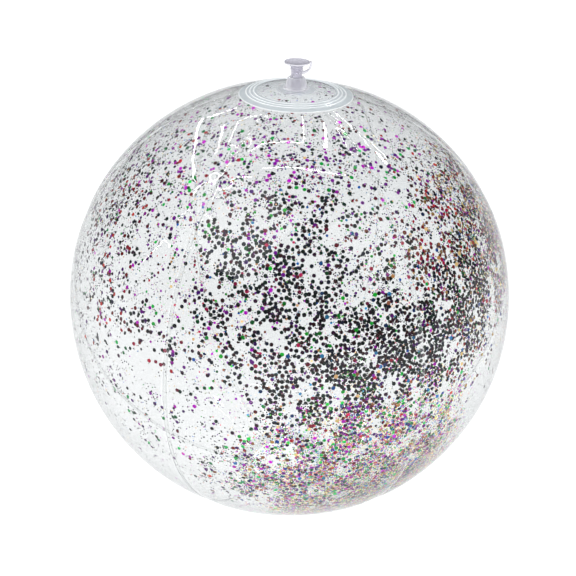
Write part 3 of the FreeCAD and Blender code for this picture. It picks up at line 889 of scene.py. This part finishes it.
def view_axes():
    """The camera's right, up and back directions."""
    back = Vector(heading(VIEW_AZIMUTH, VIEW_ELEVATION))
    right = Vector(heading(VIEW_AZIMUTH + 90, 0))
    up = back.cross(right)
    roll = Matrix.Rotation(math.radians(VIEW_ROLL), 3, back)
    return roll @ right, roll @ up, back


def make_camera():
    """The camera, at its heading from the ball's centre."""
    right, up, back = view_axes()
    data = bpy.data.cameras.new("camera")
    data.lens = LENS
    data.shift_x, data.shift_y = SHIFT
    data.clip_start = 0.01
    obj = bpy.data.objects.new("camera", data)
    bpy.context.scene.collection.objects.link(obj)
    place = Vector(CENTRE) + back * VIEW_DISTANCE
    turn = Matrix((right, up, back)).transposed().to_4x4()
    obj.matrix_world = Matrix.Translation(place) @ turn
    bpy.context.scene.camera = obj


def make_floor():
    """A wide floor, just under the ball."""
    size, level = 12.0, -0.5 * MM
    points = [(-size, -size, level), (size, -size, level), (size, size, level), (-size, size, level)]
    floor = new_object("studio_floor", points, [(0, 1, 2, 3)])
    floor.data.materials.append(plain_floor())


def make_softbox(name, azimuth, elevation, distance, size, power):
    """A square softbox that faces the ball."""
    data = bpy.data.lights.new(name, "AREA")
    data.shape = "SQUARE"
    data.size = size
    data.energy = power
    obj = bpy.data.objects.new(name, data)
    bpy.context.scene.collection.objects.link(obj)
    away = Vector(heading(azimuth, elevation))
    obj.location = Vector(CENTRE) + away * distance
    obj.rotation_euler = away.to_track_quat("Z", "Y").to_euler()


def mirrored(azimuth, elevation, distance):
    """Where a light must be for its reflection to show at this heading on the ball."""
    _, _, back = view_axes()
    eye = Vector(CENTRE) + back * VIEW_DISTANCE
    normal = Vector(heading(azimuth, elevation))
    spot = Vector(CENTRE) + normal * RADIUS
    ray = (spot - eye).normalized()
    return spot + ray.reflect(normal) * distance


def make_strip(name, path, width, look, distance=1.1):
    """A thin light tube of the studio, along the mirror image of a path of headings on the ball."""
    path = [np.array(p, float) for p in path]
    dense = [a + (b - a) * t for a, b in zip(path, path[1:]) for t in np.linspace(0, 1, 8, endpoint=False)]
    dense.append(path[-1])
    spots = [mirrored(*p, distance) for p in dense]
    points = []
    for i, spot in enumerate(spots):
        along = spots[min(i + 1, len(spots) - 1)] - spots[max(i - 1, 0)]
        side = along.cross(spot - Vector(CENTRE)).normalized() * width / 2
        points += [spot - side, spot + side]
    faces = [(2 * i, 2 * i + 1, 2 * i + 3, 2 * i + 2) for i in range(len(spots) - 1)]
    strip = new_object(name, points, faces)
    strip.data.materials.append(look)
    for kind in ("camera", "diffuse", "transmission", "volume_scatter", "shadow"):
        setattr(strip, f"visible_{kind}", False)


# Light tubes, by the headings on the ball where they show, and their width
STRIPS = [
    ([(-68, 66), (-52, 60), (-38, 51)], 0.015),
    ([(-66, 67), (-62, 71), (-57, 74)], 0.012),
    ([(-50, 68), (-42, 64), (-37, 60)], 0.012),
    ([(-32, 64), (-42, 70), (-37, 72), (-30, 74)], 0.010),
    ([(-30, 62), (-23, 64), (-10, 66), (2, 66), (3, 70), (3, 75)], 0.012),
    ([(-15, 58), (-5, 59), (6, 58), (18, 56)], 0.015),
    ([(-18, 56), (-24, 55), (-31, 52), (-36, 49)], 0.030),
    ([(-37, 42), (-34, 45), (-30, 43)], 0.013),
    ([(-43, 30), (-39, 36), (-36, 35)], 0.013),
    ([(21, 73), (16, 68), (13, 64)], 0.024),
    ([(34, 76), (32, 70), (32, 62)], 0.008),
    ([(35, 67), (39, 63), (41, 58)], 0.008),
    ([(36, 61), (38, 57)], 0.050),
    ([(-9, 12), (3, 12)], 0.019),
]


# The white studio's light, and how bright the film's reflections see it
WORLD_LIGHT = 1.20
WORLD_SEEN = 0.34


def make_world():
    """A white studio, which the vinyl's reflections see as much darker between its tubes and softboxes."""
    world = bpy.data.worlds.new("studio")
    world.use_nodes = True
    tree = world.node_tree
    tree.nodes.clear()
    glossy = add(tree, "ShaderNodeLightPath").outputs["Is Glossy Ray"]
    dimming = maths(tree, "MULTIPLY", glossy, WORLD_LIGHT - WORLD_SEEN)
    strength = maths(tree, "SUBTRACT", WORLD_LIGHT, dimming)
    light = add(tree, "ShaderNodeBackground", {"Color": (0.97, 0.98, 1.0, 1.0), "Strength": strength})
    add(tree, "ShaderNodeOutputWorld", {"Surface": light.outputs[0]})
    bpy.context.scene.world = world


def make_light():
    """Two softboxes, and the tubes that the film reflects."""
    make_softbox("key_softbox", azimuth=-50, elevation=55, distance=1.8, size=1.4, power=12)
    make_softbox("fill_softbox", azimuth=60, elevation=45, distance=2.0, size=1.2, power=5)
    tube = glow_material("tube_glow", strength=34.0)
    for number, (path, width) in enumerate(STRIPS, start=1):
        make_strip(f"studio_tube_{number}", path, width, tube)


# ---------------------------------------------------------------- the whole scene

make_bell()
make_tether()
dress_valve()
for panel in range(PANELS):
    make_panel(panel)
make_disc("top_disc", 1)
make_disc("bottom_disc", -1)
make_glitter("large")
make_glitter("small")
make_camera()
make_floor()
make_world()
make_light()

# The film is seen through many walls, so light passes far through it
scene = bpy.context.scene
scene.view_settings.view_transform = "Standard"
scene.cycles.transparent_max_bounces = 64
scene.cycles.max_bounces = 16
